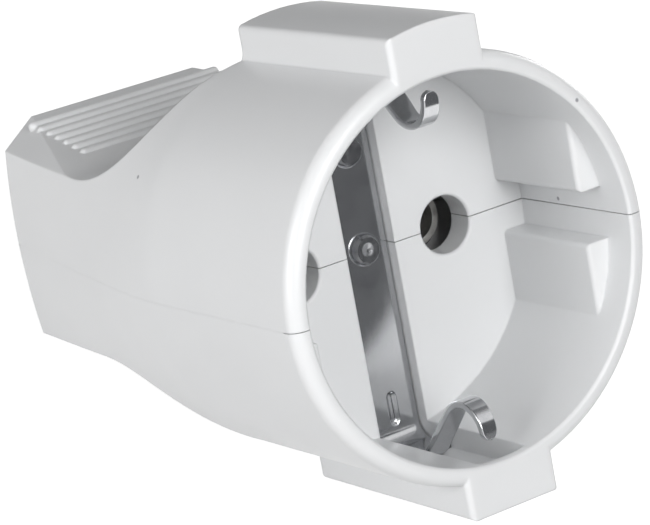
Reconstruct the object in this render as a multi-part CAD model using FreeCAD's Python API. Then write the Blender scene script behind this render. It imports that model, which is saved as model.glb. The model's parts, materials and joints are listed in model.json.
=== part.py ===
import FreeCAD, Part
import math
import os

# Inline earthed socket connector for a flexible cord, in millimetres.
# Two moulded half shells meet on the plane through both pin holes. The upper shell carries the contacts,
# the earth strap and the cord clamp, and the lower shell is the cover, held by two screws from underneath.
# The pieces are drawn about the socket axis: X across the pin holes, Y from the rim back to the cord end,
# Z up, with the centre of the rim at zero. At the end they are tipped back into the pose in which the
# connector rests on a table, on its lower pad and the lower edge of its cord end.

Vector = FreeCAD.Vector

# Socket face
well_radius = 19.5
well_depth = 18.0
rim_wall = 2.0
rim_round = 1.4
well_mouth_round = 0.25
floor_thickness = 3.2
pin_spacing = 19.0
pin_hole_radius = 3.05
pin_hole_lead = 0.2

# Polarising ribs inside the well
guide_face_distance = 16.6
guide_gap = 5.4
guide_set_back = 3.9
guide_round = 0.5

# Grip pads above and below the rim
pad_width = 10.8
pad_height = 24.4
pad_crown = 0.6
pad_length = 26.6
pad_edge_round = 0.6

# Outer body
barrel_length = 26.0
body_length = 65.7
tail_width = 30.6
side_bow_height = 71.0
taper_ease = 5.2
tail_round = 0.6
body_wall = 2.2
parting_gap = 0.1

# Finger scoops, the same above and below, and the ribs across the upper one
scoop_tail_height = 13.6
scoop_slope = 11.3
scoop_valley = 45.5
scoop_valley_radius = 19.0
scoop_crest_radius = 7.0
scoop_crest_height = 21.6
scoop_pad_radius = 1.6
corner_facet_width = 4.2
corner_facet_height = 3.0
grip_rib_count = 7
grip_rib_pitch = 1.8
grip_rib_first = 3.1
grip_rib_length = 25.0
grip_rib_radius = 0.6
grip_rib_height = 0.38

# Earth strap with a hook at each end
groove_depth = 2.0
channel_radius = 21.6
channel_front = 1.2
strap_width = 5.8
strap_thickness = 0.7
strap_bend = 0.9
strap_side_clearance = 0.1
hook_width = 2.6
hook_start = 14.2
hook_foot = 13.1
hook_front = 2.35
hook_reach_radius = 14.0
hook_curl = 2.4
hook_tip_radius = 17.9
hook_bend = 1.5
bead_radius = 0.65
bead_height = 0.35
bead_start = 15.3
bead_end = 19.6

# Rivets through the strap, the floor and the earth terminal
rivet_radius = 1.2
rivet_head_radius = 1.75
rivet_head_height = 1.1
rivet_tail_height = 0.8
upper_rivet_height = 10.4

# Earth terminal behind the floor
earth_plate_thickness = 1.0
earth_plate_width = 7.2
earth_plate_top = 12.6
earth_tab_drop = 5.0
earth_tab_length = 9.6
earth_screw_set_back = 5.6

# Pin contacts: a rolled sleeve with a screw tab behind it
contact_bore = 2.35
contact_wall = 0.7
contact_gap = 2.5
contact_sleeve_length = 9.8
contact_slot = 0.9
contact_slot_length = 7.5
contact_tab_length = 8.0
contact_tab_width = 7.6
contact_tab_thickness = 1.0
contact_spring_wall = 0.5
contact_spring_length = 3.0
contact_spring_set_back = 0.7
contact_spring_slot = 1.2

# Terminal screws and the square washers under their heads
terminal_screw_radius = 1.5
terminal_screw_length = 5.5
terminal_head_radius = 2.6
terminal_head_height = 1.9
terminal_washer_side = 6.0
terminal_washer_thickness = 0.9
screw_slot_width = 0.7
screw_slot_depth = 0.9

# Walls and seats inside the shells
inner_wall = 1.4
cradle_set_back = 4.0
partition_face = 4.1
partition_end = 42.0
tab_seat_width = 0.9

# Case screws
case_screw_spacing = 22.4
case_screw_place = 46.6
case_screw_radius = 1.6
case_screw_depth = 6.2
case_boss_radius = 4.4
case_head_radius = 2.9
case_head_height = 2.0
case_head_seat = 6.2
case_well_clearance = 0.35
case_shank_clearance = 0.15

# Cord entry and cord clamp
cord_hole_radius = 4.75
cord_hole_lead = 0.8
clamp_place = 57.0
clamp_screw_spacing = 16.8
clamp_post_radius = 2.8
clamp_bar_top = 3.0
clamp_bar_thickness = 2.4
clamp_bar_width = 6.2
clamp_bar_length = 23.0
clamp_saddle_radius = 4.2
clamp_saddle_rise = 1.0
clamp_screw_radius = 1.4
clamp_screw_depth = 8.0
clamp_head_radius = 2.5
clamp_head_height = 1.9
clamp_rib_reach = 3.2
clamp_rib_spacing = 3.6

# Sizes worked out from the ones above
barrel_radius = well_radius + rim_wall
floor_back = well_depth + floor_thickness
groove_floor = well_depth + groove_depth
strap_face = groove_floor - strap_thickness
channel_half = strap_width / 2 + strap_side_clearance
earth_plate_back = floor_back + earth_plate_thickness
pin_x = pin_spacing / 2
contact_front = floor_back + contact_gap
contact_outer = contact_bore + contact_wall
sleeve_back = contact_front + contact_sleeve_length
cradle_front = contact_front + cradle_set_back
tab_under = contact_outer - contact_tab_thickness
terminal_screw_place = sleeve_back + contact_tab_length / 2
tail_inner = body_length - body_wall

# Working values of the construction, which are not sizes of the part: how far cutters run past it, where
# inner walls start below the parting plane, and how far a facet's cutter runs past the corners it takes off
far = 60.0
wall_foot = -1.0
facet_overshoot = 0.3
quarter_weight = math.sqrt(0.5)


def box(x_low, x_high, y_low, y_high, z_low, z_high):
    size = Vector(x_high - x_low, y_high - y_low, z_high - z_low)
    return Part.makeBox(size.x, size.y, size.z, Vector(x_low, y_low, z_low))


def rod(radius, start, end):
    along = end - start
    return Part.makeCylinder(radius, along.Length, start, along)


def along_y(radius, y_low, y_high, x=0.0, z=0.0):
    return rod(radius, Vector(x, y_low, z), Vector(x, y_high, z))


def along_z(radius, x, y, z_low, z_high):
    return rod(radius, Vector(x, y, z_low), Vector(x, y, z_high))


def cone_y(radius_low, radius_high, y_low, y_high, x=0.0, z=0.0):
    return Part.makeCone(radius_low, radius_high, y_high - y_low, Vector(x, y_low, z), Vector(0, 1, 0))


def fuse(shapes):
    return shapes[0].fuse(shapes[1:]).removeSplitter()


def cut(shape, tools):
    return shape.cut(tools)


def turned_over(shape):
    """The same shape on the other side of the parting plane."""
    return shape.mirror(Vector(0, 0, 0), Vector(0, 0, 1))


def other_side(shape):
    """The same shape on the other side of the plane between the pin holes."""
    return shape.mirror(Vector(0, 0, 0), Vector(1, 0, 0))


def prism_x(edges, half_width):
    """Solid from a closed outline in the YZ plane, as far to each side of X zero."""
    face = Part.Face(Part.Wire(edges))
    face.translate(Vector(-half_width, 0, 0))
    return face.extrude(Vector(2 * half_width, 0, 0))


def rounded_path(points, radii):
    """Lines through the points, with an arc of the given radius at each inner corner."""
    edges = []
    start = points[0]
    for before, at, after, radius in zip(points, points[1:], points[2:], radii):
        back = (before - at).normalize()
        ahead = (after - at).normalize()
        half = back.getAngle(ahead) / 2
        inward = (back + ahead).normalize()
        reach = radius / math.tan(half)
        centre = at + inward * (radius / math.sin(half))
        arc_start = at + back * reach
        arc_end = at + ahead * reach
        edges.append(Part.makeLine(start, arc_start))
        edges.append(Part.Arc(arc_start, centre - inward * radius, arc_end).toShape())
        start = arc_end
    edges.append(Part.makeLine(start, points[-1]))
    return edges


def bent_strip(points, inner_radii, thickness):
    """Outline of a bent strip whose middle line runs through points (y, z)."""
    middle = [Vector(0, y, z) for y, z in points]
    spans = [(b - a).normalize() for a, b in zip(middle, middle[1:])]
    sides = []
    for side in (1, -1):
        normals = [Vector(0, -s.z, s.y) * side for s in spans]
        moved = [middle[0] + normals[0] * (thickness / 2)]
        radii = []
        for i, corner in enumerate(middle[1:-1]):
            bisector = (normals[i] + normals[i + 1]).normalize()
            reach = thickness / 2 / bisector.dot(normals[i])
            moved.append(corner + bisector * reach)
            turn = spans[i].y * spans[i + 1].z - spans[i].z * spans[i + 1].y
            inside = turn * side > 0
            radii.append(inner_radii[i] if inside else inner_radii[i] + thickness)
        moved.append(middle[-1] + normals[-1] * (thickness / 2))
        sides.append((moved, radii))
    left, right = sides
    edges = rounded_path(*left)
    edges.append(Part.makeLine(left[0][-1], right[0][-1]))
    edges += rounded_path(*right)
    edges.append(Part.makeLine(right[0][0], left[0][0]))
    return Part.__sortEdges__(edges)


def body_rings(inset):
    """Control sections of the tapered body: a place along Y with a half width and a half height.

    The width eases off the barrel first, and the height, which the scoops cut, only after it.
    """
    front = barrel_radius - inset
    ease_end = barrel_length + taper_ease
    narrow = tail_width / 2 - inset
    return [
        (barrel_length, front, front),
        ((barrel_length + 2 * ease_end) / 3, front, front),
        ((2 * ease_end + body_length) / 3, (2 * front + narrow) / 3, front),
        (body_length, narrow, side_bow_height / 2 - inset),
    ]


def body_half_width(y, z):
    """Half width of the tapered body at this place and height, from its control sections."""
    run = body_length - barrel_length - 2 * taper_ease
    share = (math.sqrt(taper_ease ** 2 + run * (y - barrel_length)) - taper_ease) / run
    weights = [(1 - share) ** 3, 3 * share * (1 - share) ** 2, 3 * share ** 2 * (1 - share), share ** 3]
    rings = body_rings(0)
    half_width = sum(weight * ring[1] for weight, ring in zip(weights, rings))
    half_height = sum(weight * ring[2] for weight, ring in zip(weights, rings))
    return half_width * math.sqrt(1 - (z / half_height) ** 2)


def quarter_side(rings, middle_angle):
    """A quarter of the body's side: an exact quarter ellipse about this angle, swept along an eased curve.

    The rings are the control points of the curve, so every section between them is an exact ellipse too.
    """
    surface = Part.BezierSurface()
    surface.increase(len(rings) - 1, 2)
    corner_reach = 1 / quarter_weight
    for row, (y, half_width, half_height) in enumerate(rings, 1):
        for column, (turn, reach) in enumerate(((-45, 1), (0, corner_reach), (45, 1)), 1):
            angle = math.radians(middle_angle + turn)
            pole = Vector(half_width * reach * math.cos(angle), y, half_height * reach * math.sin(angle))
            surface.setPole(row, column, pole, 1 / reach)
    return surface.toShape()


def tapered_body(inset):
    """The body from the barrel to the cord end, with bowed sides. The scoops cut its top and bottom."""
    sides = [quarter_side(body_rings(inset), angle) for angle in (0, 90, 180, 270)]
    ends = []
    for y in (barrel_length, body_length):
        loop = [edge for side in sides for edge in side.Edges if abs(edge.BoundBox.Center.y - y) < 0.01]
        ends.append(Part.Face(Part.Wire(Part.__sortEdges__(loop))))
    shell = Part.Shell(sides + ends)
    shell.sewShape()
    return Part.Solid(shell)


def scoop_centres():
    """Centres of the hollow and of the crest ahead of it, and the unit vectors from the hollow's centre
    down to the grip face and forward to the crest's centre."""
    slope = math.radians(scoop_slope)
    touch_y = scoop_valley + scoop_valley_radius * math.sin(slope)
    touch_z = scoop_tail_height - math.tan(slope) * (body_length - touch_y)
    valley_centre = Vector(0, scoop_valley, touch_z + scoop_valley_radius * math.cos(slope))
    crest_z = scoop_crest_height - scoop_crest_radius
    between = scoop_valley_radius + scoop_crest_radius
    crest_y = scoop_valley - math.sqrt(between ** 2 - (valley_centre.z - crest_z) ** 2)
    crest_centre = Vector(0, crest_y, crest_z)
    down = Vector(0, math.sin(slope), -math.cos(slope))
    forward = (crest_centre - valley_centre).normalize()
    return valley_centre, crest_centre, down, forward


def scoop_cutter(inset):
    """What the upper finger scoop removes: a sloping grip face, a hollow and the crest behind the pad."""
    valley_centre, crest_centre, down, forward = scoop_centres()
    slope = math.radians(scoop_slope)
    valley = scoop_valley_radius + inset
    crest = scoop_crest_radius - inset
    face_start = valley_centre + down * valley
    face_end = face_start + Vector(0, math.cos(slope), math.sin(slope)) * far
    hollow_middle = valley_centre + (down + forward).normalize() * valley
    hollow_end = valley_centre + forward * valley
    up = Vector(0, 0, 1)
    crest_middle = crest_centre + (up - forward).normalize() * crest
    crest_top = crest_centre + up * crest
    high_front = Vector(0, crest_top.y, far)
    high_back = Vector(0, face_end.y, far)
    edges = [
        Part.makeLine(face_end, face_start),
        Part.Arc(face_start, hollow_middle, hollow_end).toShape(),
        Part.Arc(hollow_end, crest_middle, crest_top).toShape(),
        Part.makeLine(crest_top, high_front),
        Part.makeLine(high_front, high_back),
        Part.makeLine(high_back, face_end),
    ]
    return prism_x(edges, far)


def grip_ribs():
    """Round ribs across the upper grip face, with rounded ends."""
    slope = math.radians(scoop_slope)
    sink = grip_rib_radius - grip_rib_height
    half = grip_rib_length / 2 - grip_rib_radius
    ribs = []
    for index in range(grip_rib_count):
        run = grip_rib_first + index * grip_rib_pitch
        y = body_length - run * math.cos(slope) + sink * math.sin(slope)
        z = scoop_tail_height - run * math.sin(slope) - sink * math.cos(slope)
        ends = [Vector(-half, y, z), Vector(half, y, z)]
        rib = rod(grip_rib_radius, *ends)
        ribs.append(fuse([rib] + [Part.makeSphere(grip_rib_radius, end) for end in ends]))
    return ribs


def pad(crown):
    """Upper grip pad: its back curves down into the crest of the scoop, and its top may be crowned."""
    crest_centre = scoop_centres()[1]
    foot_y = pad_length + scoop_pad_radius
    foot_reach = scoop_crest_radius + scoop_pad_radius
    foot_z = crest_centre.z + math.sqrt(foot_reach ** 2 - (foot_y - crest_centre.y) ** 2)
    foot_centre = Vector(0, foot_y, foot_z)
    to_crest = (crest_centre - foot_centre).normalize()
    ahead = Vector(0, -1, 0)
    foot_start = foot_centre + ahead * scoop_pad_radius
    foot_middle = foot_centre + (ahead + to_crest).normalize() * scoop_pad_radius
    foot_end = foot_centre + to_crest * scoop_pad_radius
    front_low = Vector(0, 0, 0)
    front_high = Vector(0, 0, far)
    back_high = Vector(0, pad_length, far)
    back_low = Vector(0, foot_end.y, 0)
    side = [
        Part.makeLine(front_low, front_high),
        Part.makeLine(front_high, back_high),
        Part.makeLine(back_high, foot_start),
        Part.Arc(foot_start, foot_middle, foot_end).toShape(),
        Part.makeLine(foot_end, back_low),
        Part.makeLine(back_low, front_low),
    ]
    half = pad_width / 2
    block = box(-half, half, 0, far, 0, pad_height)
    if crown > 0:
        left = Vector(-half, 0, pad_height)
        right = Vector(half, 0, pad_height)
        cap = [Part.Arc(left, Vector(0, 0, pad_height + crown), right).toShape(), Part.makeLine(right, left)]
        block = fuse([block, Part.Face(Part.Wire(cap)).extrude(Vector(0, far, 0))])
    soft = [edge for edge in block.Edges
            if abs(edge.BoundBox.Center.z - pad_height) < 0.01 and edge.BoundBox.YLength > pad_length]
    soft += [edge for edge in block.Edges
             if edge.BoundBox.YMax < 0.01 and edge.BoundBox.ZLength > pad_height / 2]
    block = block.makeFillet(pad_edge_round, soft)
    return block.common(prism_x(side, pad_width))


def barrel():
    """The round front of the body, with its front edge rounded."""
    tube = along_y(barrel_radius, 0, barrel_length)
    front = [edge for edge in tube.Edges if edge.BoundBox.YMax < rim_round]
    return tube.makeFillet(rim_round, front)


def corner_facet():
    """What is cut off between the grip face and the body's side: a flat facet, widest at the cord end and
    running out to a point at the bottom of the hollow."""
    valley_centre = scoop_centres()[0]
    hollow_z = valley_centre.z - scoop_valley_radius
    point = Vector(body_half_width(scoop_valley, hollow_z), scoop_valley, hollow_z)
    side_z = scoop_tail_height - corner_facet_height
    on_side = Vector(body_half_width(body_length, side_z), body_length, side_z)
    on_face = Vector(on_side.x - corner_facet_width, body_length, scoop_tail_height)
    across = on_face - on_side
    high = on_face + (on_face - point) * facet_overshoot + across * facet_overshoot
    low = on_side + (on_side - point) * facet_overshoot - across * facet_overshoot
    outward = (low - point).cross(high - point).normalize()
    face = Part.Face(Part.makePolygon([point, low, high, point]))
    return face.extrude(outward * corner_facet_width)


def outer_body():
    """The whole outside: the tapered body with its scoops and facets, the barrel and the two pads."""
    scoops = [scoop_cutter(0), turned_over(scoop_cutter(0))]
    facets = [corner_facet(), other_side(corner_facet())]
    facets += [turned_over(facet) for facet in facets]
    body = cut(tapered_body(0), scoops + facets)
    tail = [edge for edge in body.Edges if edge.BoundBox.YMin > body_length - 0.01]
    body = body.makeFillet(tail_round, tail)
    return fuse([barrel(), body, pad(pad_crown), turned_over(pad(0))])


def inner_form(inset, y_front, y_back):
    """The form of the body, this far inside its surface, between two places along it."""
    front = along_y(barrel_radius - inset, y_front, barrel_length)
    back = tapered_body(inset).common(box(-far, far, 0, y_back, -far, far))
    cutter = scoop_cutter(inset)
    return cut(fuse([front, back]), [cutter, turned_over(cutter)])


def cavity():
    """The hollow behind the socket floor, one wall inside the outer body."""
    return inner_form(body_wall, floor_back, tail_inner)


def wall_reach():
    """How far the inner walls run: halfway into the floor, the sides and the cord end."""
    return inner_form(body_wall / 2, floor_back - floor_thickness / 2, tail_inner + body_wall / 2)


def socket_well():
    """The round well with a softened mouth, the strap groove and the two hook channels."""
    mouth = cone_y(well_radius + 2 * well_mouth_round, well_radius, -well_mouth_round, well_mouth_round)
    well = along_y(well_radius, -well_mouth_round, well_depth)
    groove = box(-channel_half, channel_half, well_depth - 1, groove_floor, -channel_radius, channel_radius)
    channel = box(-channel_half, channel_half, channel_front, groove_floor, -channel_radius, channel_radius)
    return fuse([well, mouth, groove, channel])


def guide_block():
    """One polarising rib, on the right above the parting plane."""
    back = well_depth + 1
    block = box(guide_face_distance, barrel_radius, guide_set_back, back, guide_gap / 2, barrel_radius)
    soft = [
        edge for edge in block.Edges
        if edge.BoundBox.YMax < guide_set_back + 1 and edge.BoundBox.XMax < guide_face_distance + 1
    ]
    soft += [
        edge for edge in block.Edges
        if edge.BoundBox.ZMax < guide_gap / 2 + 0.01 and edge.BoundBox.XMax < guide_face_distance + 0.01
    ]
    block = block.makeFillet(guide_round, soft)
    return block.common(along_y(well_radius + rim_wall / 2, 0, back))


def pin_holes():
    holes = []
    for x in (-pin_x, pin_x):
        bore = along_y(pin_hole_radius, well_depth - 1, floor_back + 1, x)
        lead = cone_y(pin_hole_radius + 2 * pin_hole_lead, pin_hole_radius,
                      well_depth - pin_hole_lead, well_depth + pin_hole_lead, x)
        holes.append(fuse([bore, lead]))
    return holes


def cord_hole():
    bore = along_y(cord_hole_radius, tail_inner - 1, body_length + 1)
    mouth = cone_y(cord_hole_radius, cord_hole_radius + 2 * cord_hole_lead,
                   body_length - cord_hole_lead, body_length + cord_hole_lead)
    return fuse([bore, mouth])


def contact_seats():
    """Room for the pin contacts where the inner walls cross them."""
    return [along_y(contact_outer, floor_back, sleeve_back, x) for x in (-pin_x, pin_x)]


def inner_walls():
    """Walls between the three conductors, and the cross wall that the pin contacts lie in."""
    top = barrel_radius
    sides = []
    for side in (-1, 1):
        near = side * partition_face
        thick = side * (partition_face + inner_wall)
        sides.append(box(min(near, thick), max(near, thick), floor_back, partition_end, wall_foot, top))
    cross_back = cradle_front + inner_wall
    cross = box(-barrel_radius, barrel_radius, cradle_front, cross_back, wall_foot, top)
    middle = box(-partition_face, partition_face, cradle_front - 1, cross_back + 1, wall_foot - 1, top + 1)
    return sides + [cut(cross, [middle])]


def tab_seats():
    """Two narrow ribs above each contact tab, and a stop behind it. Only the upper shell has them."""
    seats = []
    top = barrel_radius
    half = contact_tab_width / 2
    tab_end = sleeve_back + contact_tab_length
    for x in (-pin_x, pin_x):
        for edge in (x - half, x + half - tab_seat_width):
            seats.append(box(edge, edge + tab_seat_width, sleeve_back, tab_end, contact_outer, top))
        seats.append(box(x - half, x + half, tab_end, tab_end + inner_wall / 2, tab_under, top))
    return seats


def case_screw_places():
    return [-case_screw_spacing / 2, case_screw_spacing / 2]


def clamp_screw_places():
    return [-clamp_screw_spacing / 2, clamp_screw_spacing / 2]


def clamp_ribs():
    """Two cross ribs above the cord, which the clamp bar presses it against."""
    ribs = []
    half = clamp_screw_spacing / 2
    notch_centre = clamp_rib_reach - clamp_saddle_radius + clamp_saddle_rise
    for y in (clamp_place - clamp_rib_spacing / 2, clamp_place + clamp_rib_spacing / 2):
        rib = box(-half, half, y - inner_wall / 2, y + inner_wall / 2, clamp_rib_reach, barrel_radius)
        notch = along_y(clamp_saddle_radius, y - inner_wall, y + inner_wall, 0, notch_centre)
        ribs.append(cut(rib, [notch]))
    return ribs


def as_drawn(shape):
    return shape


def half_shell(body, reach, walls, turn):
    """Half of the hollow body with its inner walls and polarising ribs.

    These are drawn for the upper half, and turn brings them to the half's own side.
    """
    half = turn(box(-far, far, -far, far * 2, parting_gap / 2, far))
    half_reach = reach.common(half)
    additions = [turn(wall).common(half_reach) for wall in walls]
    additions += [turn(guide) for guide in (guide_block(), other_side(guide_block()))]
    shell = fuse([body.common(half)] + additions)
    return cut(shell, pin_holes() + [cord_hole()] + contact_seats())


def case_bosses():
    top = barrel_radius
    return [along_z(case_boss_radius, x, case_screw_place, wall_foot, top) for x in case_screw_places()]


def clamp_posts(z_low, z_high):
    return [along_z(clamp_post_radius, x, clamp_place, z_low, z_high) for x in clamp_screw_places()]


def upper_shell(body, reach):
    """The main half, with the grip ribs outside and the clamp posts and all screw holes inside."""
    walls = inner_walls() + tab_seats() + clamp_ribs()
    walls += case_bosses() + clamp_posts(wall_foot, barrel_radius)
    shell = half_shell(body, reach, walls, as_drawn)
    shell = fuse([shell] + clamp_posts(-clamp_bar_top, clamp_bar_top) + grip_ribs())
    tools = []
    for x in case_screw_places():
        tools.append(along_z(case_screw_radius, x, case_screw_place, -1, case_screw_depth))
    for x in clamp_screw_places():
        tools.append(along_z(clamp_screw_radius, x, clamp_place, -far, clamp_screw_depth - clamp_bar_top))
    tools.append(along_y(rivet_radius, well_depth, floor_back + 1))
    tools.append(along_y(rivet_radius, well_depth, floor_back + 1, 0, upper_rivet_height))
    return cut(shell, tools)


def lower_shell(body, reach):
    """The cover, plain outside, with a well for the head of each case screw."""
    shell = half_shell(body, reach, inner_walls() + case_bosses(), turned_over)
    tools = [along_y(rivet_radius, well_depth, floor_back + 1)]
    well = case_head_radius + case_well_clearance
    shank = case_screw_radius + case_shank_clearance
    for x in case_screw_places():
        tools.append(along_z(well, x, case_screw_place, -far, -case_head_seat))
        tools.append(along_z(shank, x, case_screw_place, -far, 1))
    return cut(shell, tools)


def strap_points():
    """Middle line of the upper half of the strap and its hook, from the centre to the tip.

    The hook's slope runs from its foot so as to touch the curl, which ends upright at the front.
    """
    lift = strap_thickness / 2
    floor_y = groove_floor - lift
    leg_z = channel_radius - lift
    front_y = hook_front + lift
    curl = hook_curl + lift
    across_y = front_y + curl - hook_foot
    across_z = hook_reach_radius + lift + curl - leg_z
    slope = math.atan2(across_z, across_y) + math.asin(curl / math.hypot(across_y, across_z))
    corner_z = leg_z + (front_y - hook_foot) * math.tan(slope)
    return [
        (floor_y, 0),
        (floor_y, leg_z),
        (hook_foot, leg_z),
        (front_y, corner_z),
        (front_y, hook_tip_radius),
    ]


def strap_half():
    """Upper half of the strap: full width on the floor, narrowed to a round-ended tongue on the hook."""
    bends = [strap_bend, hook_bend, hook_curl]
    strip = prism_x(bent_strip(strap_points(), bends, strap_thickness), strap_width / 2)
    waste = box(hook_width / 2, far, -far, hook_start, -far, far)
    shoulder = [
        edge for edge in waste.Edges
        if abs(edge.BoundBox.XMax - hook_width / 2) < 0.01 and edge.BoundBox.YMin > hook_start - 0.01
    ]
    waste = waste.makeFillet(hook_bend, shoulder)
    tip_z = hook_tip_radius - hook_width / 2
    low_y = hook_front - 1
    high_y = hook_front + strap_thickness + hook_curl
    corners = box(-hook_width, hook_width, low_y, high_y, tip_z, hook_tip_radius + 1)
    corners = cut(corners, [along_y(hook_width / 2, low_y, high_y, 0, tip_z)])
    return cut(strip, [waste, other_side(waste), corners])


def strap_bead():
    """A pressed bead across the bend, which stiffens it."""
    y = strap_face + bead_radius - bead_height
    low = Vector(0, y, bead_start + bead_radius)
    high = Vector(0, y, bead_end - bead_radius)
    ends = [Part.makeSphere(bead_radius, end) for end in (low, high)]
    return fuse([rod(bead_radius, low, high)] + ends)


def earth_strap():
    half = fuse([strap_half(), strap_bead()])
    back = box(-far, far, groove_floor, far, -far, far)
    half = cut(half, [back])
    strap = fuse([half, turned_over(half)])
    holes = [along_y(rivet_radius, 0, far), along_y(rivet_radius, 0, far, 0, upper_rivet_height)]
    return cut(strap, holes)


def rivet(height):
    """Domed head on the strap, shank through the floor and a formed tail behind the earth plate."""
    shank = along_y(rivet_radius, strap_face, earth_plate_back, 0, height)
    dome_radius = (rivet_head_radius ** 2 + rivet_head_height ** 2) / (2 * rivet_head_height)
    centre = Vector(0, strap_face - rivet_head_height + dome_radius, height)
    head = Part.makeSphere(dome_radius, centre).common(along_y(rivet_head_radius, 0, strap_face, 0, height))
    tail_end = earth_plate_back + rivet_tail_height
    tail = cone_y(rivet_head_radius, rivet_radius, earth_plate_back, tail_end, 0, height)
    return fuse([shank, head, tail])


def earth_terminal():
    """Plate riveted behind the floor and bent back below into a tab for the earth wire's screw."""
    half = earth_plate_thickness / 2
    line = [
        (floor_back + half, earth_plate_top),
        (floor_back + half, half - earth_tab_drop),
        (floor_back + earth_tab_length, half - earth_tab_drop),
    ]
    outline = bent_strip(line, [earth_plate_thickness / 2], earth_plate_thickness)
    plate = prism_x(outline, earth_plate_width / 2)
    tools = [along_y(rivet_radius, 0, far), along_y(rivet_radius, 0, far, 0, upper_rivet_height)]
    tools.append(along_z(terminal_screw_radius, 0, floor_back + earth_screw_set_back, -far, 0))
    return cut(plate, tools)


def pin_contact(x):
    """Split brass sleeve for a round pin, with a flat tab behind it for the wire's screw."""
    sleeve = cut(along_y(contact_outer, contact_front, sleeve_back, x),
                 [along_y(contact_bore, contact_front - 1, sleeve_back + 1, x)])
    slot_end = contact_front + contact_slot_length
    slot = box(x - contact_slot / 2, x + contact_slot / 2, contact_front - 1, slot_end, -far, far)
    sleeve = cut(sleeve, [slot])
    half = contact_tab_width / 2
    tab_start = sleeve_back - contact_wall
    tab_end = sleeve_back + contact_tab_length
    tab = box(x - half, x + half, tab_start, tab_end, tab_under, contact_outer)
    tab = cut(tab, [along_y(contact_bore, contact_front, sleeve_back, x)])
    hole = along_z(terminal_screw_radius, x, terminal_screw_place, 0, far)
    return cut(fuse([sleeve, tab]), [hole])


def contact_spring(x):
    """Steel ring, open on one side, that keeps the sleeve closed on the pin."""
    start = contact_front + contact_spring_set_back
    end = start + contact_spring_length
    ring = cut(along_y(contact_outer + contact_spring_wall, start, end, x),
               [along_y(contact_outer, start - 1, end + 1, x)])
    side = 1 if x > 0 else -1
    gap_low, gap_high = sorted((x, x + side * far))
    gap = box(gap_low, gap_high, start - 1, end + 1, -contact_spring_slot / 2, contact_spring_slot / 2)
    return cut(ring, [gap])


def slotted_screw(x, y, seat, radius, shank_top, head_radius, head_height):
    """Screw put in from below: its head hangs under the seat and its shank runs up from it."""
    head = along_z(head_radius, x, y, seat - head_height, seat)
    rim = [edge for edge in head.Edges if edge.BoundBox.ZMax < seat - head_height / 2]
    head = head.makeChamfer(head_height / 4, rim)
    shank = along_z(radius, x, y, seat, shank_top)
    slot_half = screw_slot_width / 2
    slot_end = seat - head_height + screw_slot_depth
    slot = box(x - far, x + far, y - slot_half, y + slot_half, seat - far, slot_end)
    return cut(fuse([head, shank]), [slot])


def terminal_washer(x, y, top):
    """Square washer that presses the wire against the tab above it."""
    half = terminal_washer_side / 2
    plate = box(x - half, x + half, y - half, y + half, top - terminal_washer_thickness, top)
    corners = [edge for edge in plate.Edges if edge.BoundBox.ZLength > terminal_washer_thickness / 2]
    plate = plate.makeChamfer(terminal_washer_thickness / 2, corners)
    return cut(plate, [along_z(terminal_screw_radius, x, y, -far, far)])


def terminal_screw(x, y, tab_low):
    seat = tab_low - terminal_washer_thickness
    return slotted_screw(x, y, seat, terminal_screw_radius, seat + terminal_screw_length,
                         terminal_head_radius, terminal_head_height)


def cord_clamp_bar():
    """Moulded bar under the cord, hollowed on top and rounded at its ends."""
    half = clamp_bar_length / 2
    low = -clamp_bar_top - clamp_bar_thickness
    front = clamp_place - clamp_bar_width / 2
    back = clamp_place + clamp_bar_width / 2
    bar = box(-half, half, front, back, low, -clamp_bar_top)
    corners = [edge for edge in bar.Edges if edge.BoundBox.ZLength > clamp_bar_thickness / 2]
    bar = bar.makeFillet(clamp_bar_width / 2 - clamp_saddle_rise, corners)
    hollow_centre = -clamp_bar_top + clamp_saddle_radius - clamp_saddle_rise
    hollow = along_y(clamp_saddle_radius, 0, far * 2, 0, hollow_centre)
    screws = [along_z(clamp_screw_radius, x, clamp_place, -far, far) for x in clamp_screw_places()]
    return cut(bar, [hollow] + screws)


def clamp_screw(x):
    seat = -clamp_bar_top - clamp_bar_thickness
    return slotted_screw(x, clamp_place, seat, clamp_screw_radius, clamp_screw_depth - clamp_bar_top,
                         clamp_head_radius, clamp_head_height)


def case_screw(x):
    return slotted_screw(x, case_screw_place, -case_head_seat, case_screw_radius, case_screw_depth,
                         case_head_radius, case_head_height)


def all_pieces():
    earth_y = floor_back + earth_screw_set_back
    body = cut(cut(outer_body(), [cavity()]), [socket_well()])
    reach = wall_reach()
    pieces = {
        "upper_shell": upper_shell(body, reach),
        "lower_shell": lower_shell(body, reach),
        "earth_strap": earth_strap(),
        "center_rivet": rivet(0),
        "upper_rivet": rivet(upper_rivet_height),
        "earth_terminal": earth_terminal(),
        "earth_terminal_screw": terminal_screw(0, earth_y, -earth_tab_drop),
        "earth_terminal_washer": terminal_washer(0, earth_y, -earth_tab_drop),
        "cord_clamp_bar": cord_clamp_bar(),
    }
    for name, x in (("left", -1), ("right", 1)):
        pieces[name + "_contact"] = pin_contact(x * pin_x)
        pieces[name + "_contact_spring"] = contact_spring(x * pin_x)
        pieces[name + "_terminal_screw"] = terminal_screw(x * pin_x, terminal_screw_place, tab_under)
        pieces[name + "_terminal_washer"] = terminal_washer(x * pin_x, terminal_screw_place, tab_under)
        pieces[name + "_clamp_screw"] = clamp_screw(x * clamp_screw_spacing / 2)
        pieces[name + "_case_screw"] = case_screw(x * case_screw_spacing / 2)
    return pieces


def rest_tilt():
    """Angle of the line that touches the lower pad's back edge and the cord end's rounded lower edge."""
    slope = math.radians(scoop_slope)
    tail_centre_z = tail_round * (math.tan(slope) + 1 / math.cos(slope)) - scoop_tail_height
    run = body_length - tail_round - pad_length
    rise = tail_centre_z + pad_height
    return math.degrees(math.atan2(rise, run) - math.asin(tail_round / math.hypot(run, rise)))


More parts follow.
